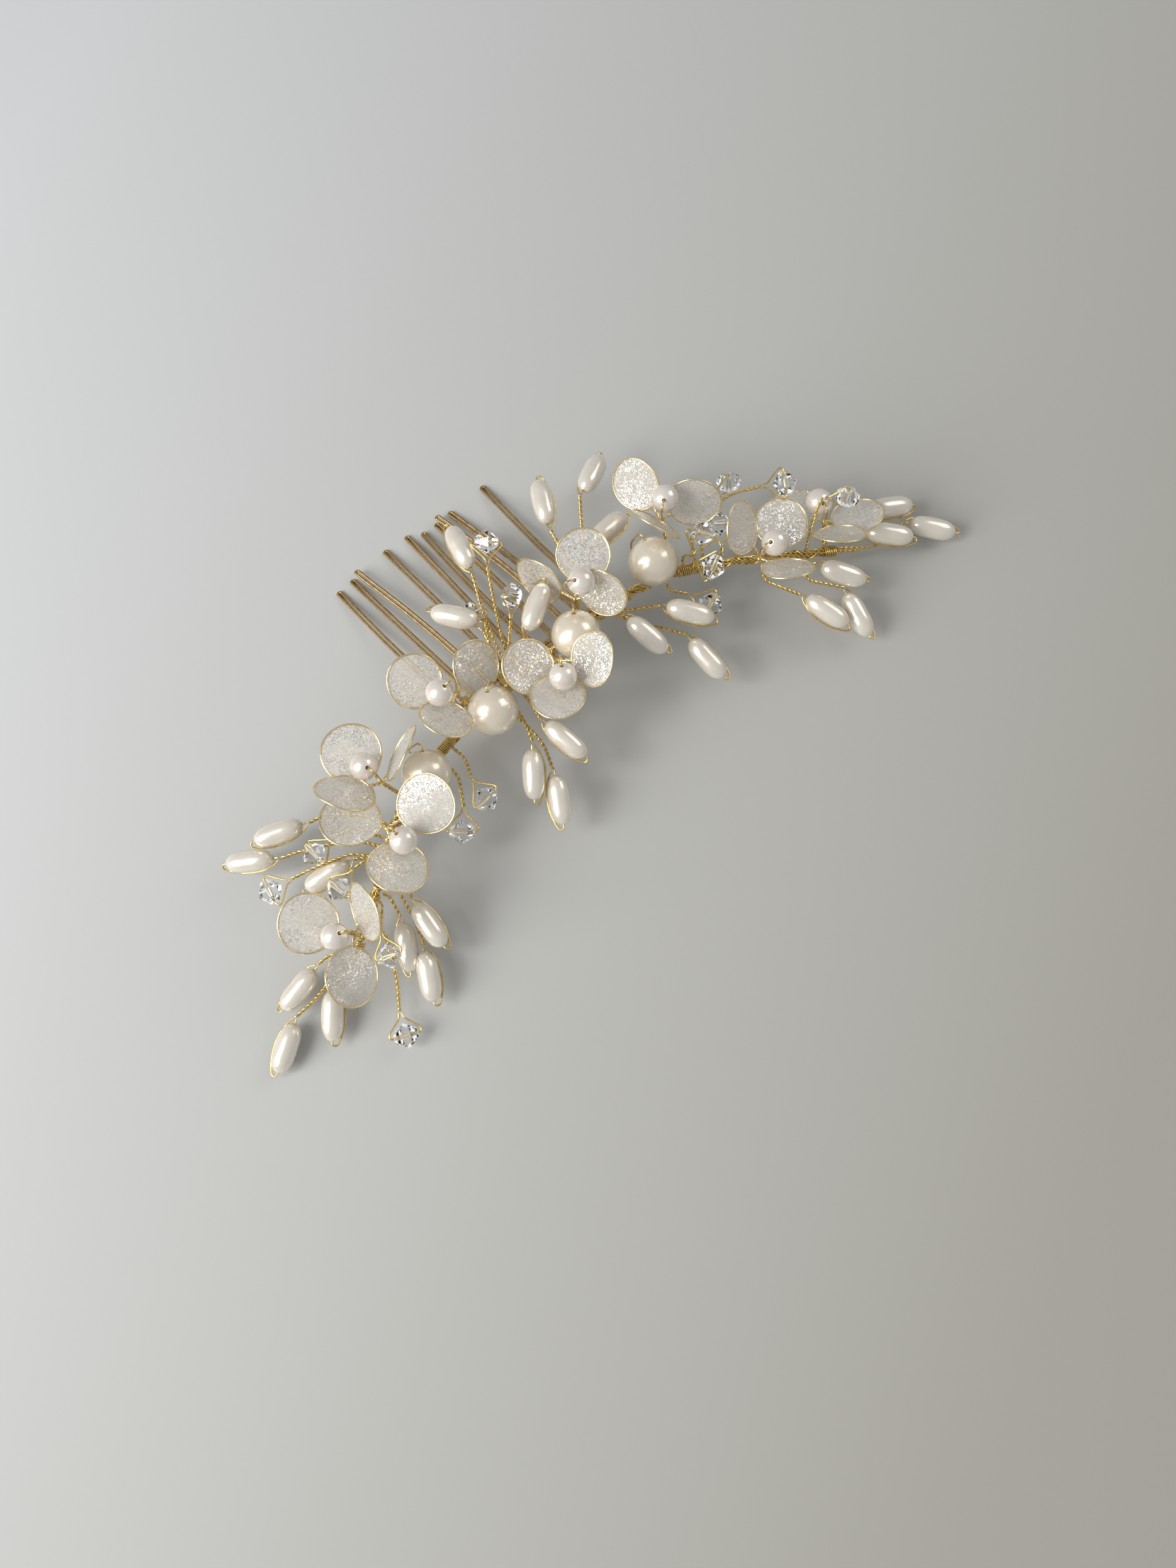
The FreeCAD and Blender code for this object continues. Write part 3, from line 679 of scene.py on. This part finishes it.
def make_beads(name, node, material, rings, sides, fullness=1.0):
    mesh = bmesh.new()
    skin, groups = solids(node)
    for number, group in enumerate(groups):
        first, second = bore_of(group)
        axis = (second - first).normalized()
        middle = (first + second) / 2
        girth = max(((v.co - middle) - axis * (v.co - middle).dot(axis)).length for v in group)
        reach = max(abs((v.co - middle).dot(axis)) for v in group)
        ends = (middle - axis * reach, middle + axis * reach)
        add_bead(mesh, ends, girth, BEAD_SEED_STEP * number, rings, sides, fullness)
    skin.free()
    smooth_mesh_piece(name, mesh, material, [node])


# ---------------------------------------------------------------- flowers


PETAL_SIDES = 120
PETAL_RINGS = 12
# How far round the petal its outline is drawn in to the neck.
PINCH = math.radians(13)
# How far a petal may be out of round and out of flat, as shares of its radius.
LOBE_DEPTHS = (0.008, 0.022)
WARP_DEPTHS = (0.02, 0.045)
CRINKLE_DEPTH = 0.07 * MM
CRINKLE_SCALE = 900
FILM_THICKNESS = 0.06 * MM

NECK_OVERRUN = 0.3 * MM
NECK_STEP = 0.1 * MM
NECK_PITCH = 2.4 * MM
# A neck this far from a petal is as poor a match as one that points well away from it.
NECK_REACH = 100 * MM
FACE_SAMPLE = 6
SQUARE_ENOUGH = 0.2


def petal_sheet(mesh, centre, out, face, radius, reach, seed):
    """Adds one film petal and returns the line of its wire, both from the same bent outline."""
    side = face.cross(out)
    chance = random.Random(seed)
    lobe, lobe_turn = chance.uniform(*LOBE_DEPTHS), chance.uniform(0, TURN)
    warp, warp_turn = chance.uniform(*WARP_DEPTHS), chance.uniform(0, TURN)

    def place(angle, share):
        pinch = math.exp(-((min(angle, TURN - angle) / PINCH) ** 2))
        around = radius * (1 + lobe * math.cos(3 * (angle - lobe_turn)) * (1 - pinch))
        around += (reach - radius) * pinch
        lift = warp * radius * share**2 * math.cos(2 * (angle - warp_turn)) * (1 - pinch)
        across = centre + (out * -math.cos(angle) + side * math.sin(angle)) * around * share
        crinkle = noise.noise(across * CRINKLE_SCALE + Vector((seed, 0, 0))) * CRINKLE_DEPTH
        return across + face * (lift + crinkle * (1 - share**8))

    rim = [place(TURN * i / PETAL_SIDES, 1.0) for i in range(PETAL_SIDES)]
    made = bmesh.ops.create_circle(mesh, cap_ends=False, segments=PETAL_SIDES, radius=1.0)
    ring = made["verts"]
    edges = list({e for v in ring for e in v.link_edges})
    order = {v: i for i, v in enumerate(ring)}
    for step in range(PETAL_RINGS, 0, -1):
        share = step / PETAL_RINGS
        for vert, i in order.items():
            vert.co = place(TURN * i / PETAL_SIDES, share)
        if step == 1:
            break
        grown = bmesh.ops.extrude_edge_only(mesh, edges=edges)["geom"]
        fresh = [g for g in grown if isinstance(g, bmesh.types.BMVert)]
        edges = [g for g in grown if isinstance(g, bmesh.types.BMEdge)]
        order = {v: min(order.items(), key=lambda o: (o[0].co - v.co).length)[1] for v in fresh}
    bmesh.ops.contextual_create(mesh, geom=edges)
    return rim


def neck_of(centre, necks):
    """Near and far end of the neck that points at a petal's centre and lies close to it."""

    def misfit(ends):
        near, far = (end - centre for end in ends)
        return abs(far.normalized().dot(near.normalized()) - 1) + near.length / NECK_REACH

    return min((sorted(neck, key=lambda p: (p - centre).length) for neck in necks), key=misfit)


def upper_face(group, out):
    """Upward normal of a film, told from those of its edge by being square to the way out."""
    normals = (f.normal for v in group[:FACE_SAMPLE] for f in v.link_faces)
    return max(normals, key=lambda n: n.z if abs(n.dot(out)) < SQUARE_ENOUGH else -2).copy()


def make_flowers():
    for number in range(1, FLOWER_COUNT + 1):
        films = "flower_%d_petal_films" % number
        wires = "flower_%d_petal_wires" % number
        skin, groups = solids(wires)
        necks = [[middle_of(r) for r in sharp_rings(g)] for g in groups]
        necks = [ends for ends in necks if len(ends) == 2]
        skin.free()
        skin, groups = solids(films)
        mesh = bmesh.new()
        lines = []
        rims = []
        for count, group in enumerate(groups):
            centre = middle_of(group)
            near, far = neck_of(centre, necks)
            out = (centre - near).normalized()
            face = upper_face(group, out)
            radius = max((v.co - centre).length for v in group) + RIM_WIRE
            reach = (near - centre).length
            rims.append(petal_sheet(mesh, centre, out, face, radius, reach, 10 * number + count))
            core = even_line([far - out * NECK_OVERRUN, near], NECK_STEP)
            lines += wound(core, 2, RIM_WIRE, NECK_PITCH, number + count)
        skin.free()
        piece = smooth_mesh_piece("petal_films_%d" % number, mesh, FILM, [films])
        body = piece.modifiers.new("film thickness", "SOLIDIFY")
        body.thickness = FILM_THICKNESS
        body.offset = 0.0
        wire_piece("petal_rims_%d" % number, rims, RIM_WIRE, PALE_GOLD, [wires], closed=True)
        wire_piece("petal_necks_%d" % number, lines, RIM_WIRE, PALE_GOLD)


# ---------------------------------------------------------------- the comb


for node in ("comb_bar", "comb_teeth"):
    finish_node(node, OLD_GOLD)
for node in ("comb_lashings", "flower_pearl_wires", "large_pearl_wires"):
    finish_node(node, BRIGHT_GOLD)
for wing in WINGS:
    finish_node("rice_pearl_wires_" + wing, BRIGHT_GOLD)
    finish_node("crystal_loops_" + wing, BRIGHT_GOLD)
for name in NODES:
    if name.startswith("crystal_") and not name.startswith("crystal_loops"):
        finish_node(name, CRYSTAL)

VINE = vine_line()
make_vine(VINE)
make_bindings(VINE)
make_stems()
make_stalks()
make_beads("large_round_pearls", "large_pearls", IVORY, rings=40, sides=64)
make_beads("flower_round_pearls", "flower_pearls", WHITE, rings=28, sides=44)
for wing in WINGS:
    beads = "rice_pearls_" + wing
    make_beads("rice_beads_" + wing, beads, CREAM, rings=36, sides=32, fullness=1.6)
make_flowers()


# ---------------------------------------------------------------- floor, light and camera


# The view's right and up, as they lie on the table.
CAMERA_TURN = math.radians(38)
CAMERA_TILT = math.radians(12)
CAMERA_DISTANCE = 300 * MM
VIEW_RIGHT = Vector((math.cos(CAMERA_TURN), -math.sin(CAMERA_TURN), 0))
VIEW_UP = Vector((math.sin(CAMERA_TURN), math.cos(CAMERA_TURN), 0))
LOOK_AT = Vector((-5.13 * MM, -22.9 * MM, 0))
SENSOR_HEIGHT = 36.0
LENS = 33.51
CLIP_START = 0.01

FLOOR_REACH = 2.0
# The floor's colour darkens and warms across the view, from pale cool grey on the window's side to warm grey
# on the far side: painted shade, a falloff of the window light painted into the floor.
FLOOR_PAINTED_SHADE_TURN = math.radians(62)
FLOOR_PAINTED_SHADE_FADE = (-0.16, 0.14)
FLOOR_LIT_SIDE = (0.6, 0.615, 0.625, 1)
FLOOR_PAINTED_SHADE_SIDE = (0.4, 0.39, 0.35, 1)

SKY = (0.93, 0.94, 0.95, 1)
# How bright the surroundings are, as light and as they are seen through the crystals.
SKY_STRENGTH = (0.42, 1.0)


def make_floor():
    mesh = bmesh.new()
    bmesh.ops.create_grid(mesh, x_segments=1, y_segments=1, size=FLOOR_REACH)
    data = bpy.data.meshes.new("floor")
    mesh.to_mesh(data)
    mesh.free()
    floor = new_object("floor", data)
    material = bpy.data.materials.new("pale_floor_painted_shade")
    material.use_nodes = True
    tree = material.node_tree
    shader = tree.nodes["Principled BSDF"]
    places = tree.nodes.new("ShaderNodeTexCoord").outputs["Object"]
    turned = tree.nodes.new("ShaderNodeMapping")
    turned.inputs["Rotation"].default_value = (0, 0, FLOOR_PAINTED_SHADE_TURN)
    tree.links.new(places, turned.inputs["Vector"])
    apart = tree.nodes.new("ShaderNodeSeparateXYZ")
    tree.links.new(turned.outputs["Vector"], apart.inputs["Vector"])
    # Painted shade: the floor's colour fades from the pale lit side to a darker, warmer grey away from the
    # window light.
    share = remap(tree, apart.outputs["X"], FLOOR_PAINTED_SHADE_FADE)
    tree.links.new(blend_colour(tree, share, FLOOR_LIT_SIDE, FLOOR_PAINTED_SHADE_SIDE), shader.inputs["Base Color"])
    shader.inputs["Roughness"].default_value = 0.8
    data.materials.append(material)


def make_light(name, place, size, power, colour):
    """Soft panel that faces the comb; its place is so far right, up and above, and its size wide and deep."""
    aside, ahead, height = place
    data = bpy.data.lights.new(name, "AREA")
    data.shape = "RECTANGLE"
    data.size, data.size_y = size
    data.energy = power
    data.color = colour
    light = new_object(name, data)
    light.location = VIEW_RIGHT * aside + VIEW_UP * ahead + UP * height
    light.rotation_euler = (-light.location).to_track_quat("-Z", "Y").to_euler()


def make_world():
    world = bpy.data.worlds.new("studio")
    world.use_nodes = True
    tree = world.node_tree
    background = tree.nodes["Background"]
    background.inputs["Color"].default_value = SKY
    ray = tree.nodes.new("ShaderNodeLightPath")
    strength = remap(tree, ray.outputs["Is Transmission Ray"], FULL_RANGE, SKY_STRENGTH)
    tree.links.new(strength, background.inputs["Strength"])
    bpy.context.scene.world = world


def make_camera():
    data = bpy.data.cameras.new("camera")
    data.sensor_fit = "VERTICAL"
    data.sensor_height = SENSOR_HEIGHT
    data.lens = LENS
    data.clip_start = CLIP_START
    camera = new_object("camera", data)
    back = UP * math.cos(CAMERA_TILT) - VIEW_UP * math.sin(CAMERA_TILT)
    camera.location = LOOK_AT + back * CAMERA_DISTANCE
    camera.rotation_euler = (-back).to_track_quat("-Z", "Y").to_euler()
    bpy.context.scene.camera = camera


make_floor()
make_light("window", (-0.62, -0.3, 0.46), (0.5, 0.5), power=5.0, colour=(1.0, 0.99, 0.97))
make_light("window_glint", (-0.35, -0.1, 0.5), (0.1, 0.22), power=0.9, colour=(1.0, 1.0, 1.0))
make_light("far_side", (0.55, 0.35, 0.5), (0.4, 0.4), power=1.0, colour=(1.0, 0.97, 0.93))
make_world()
make_camera()

scene = bpy.context.scene
scene.view_settings.view_transform = "Standard"
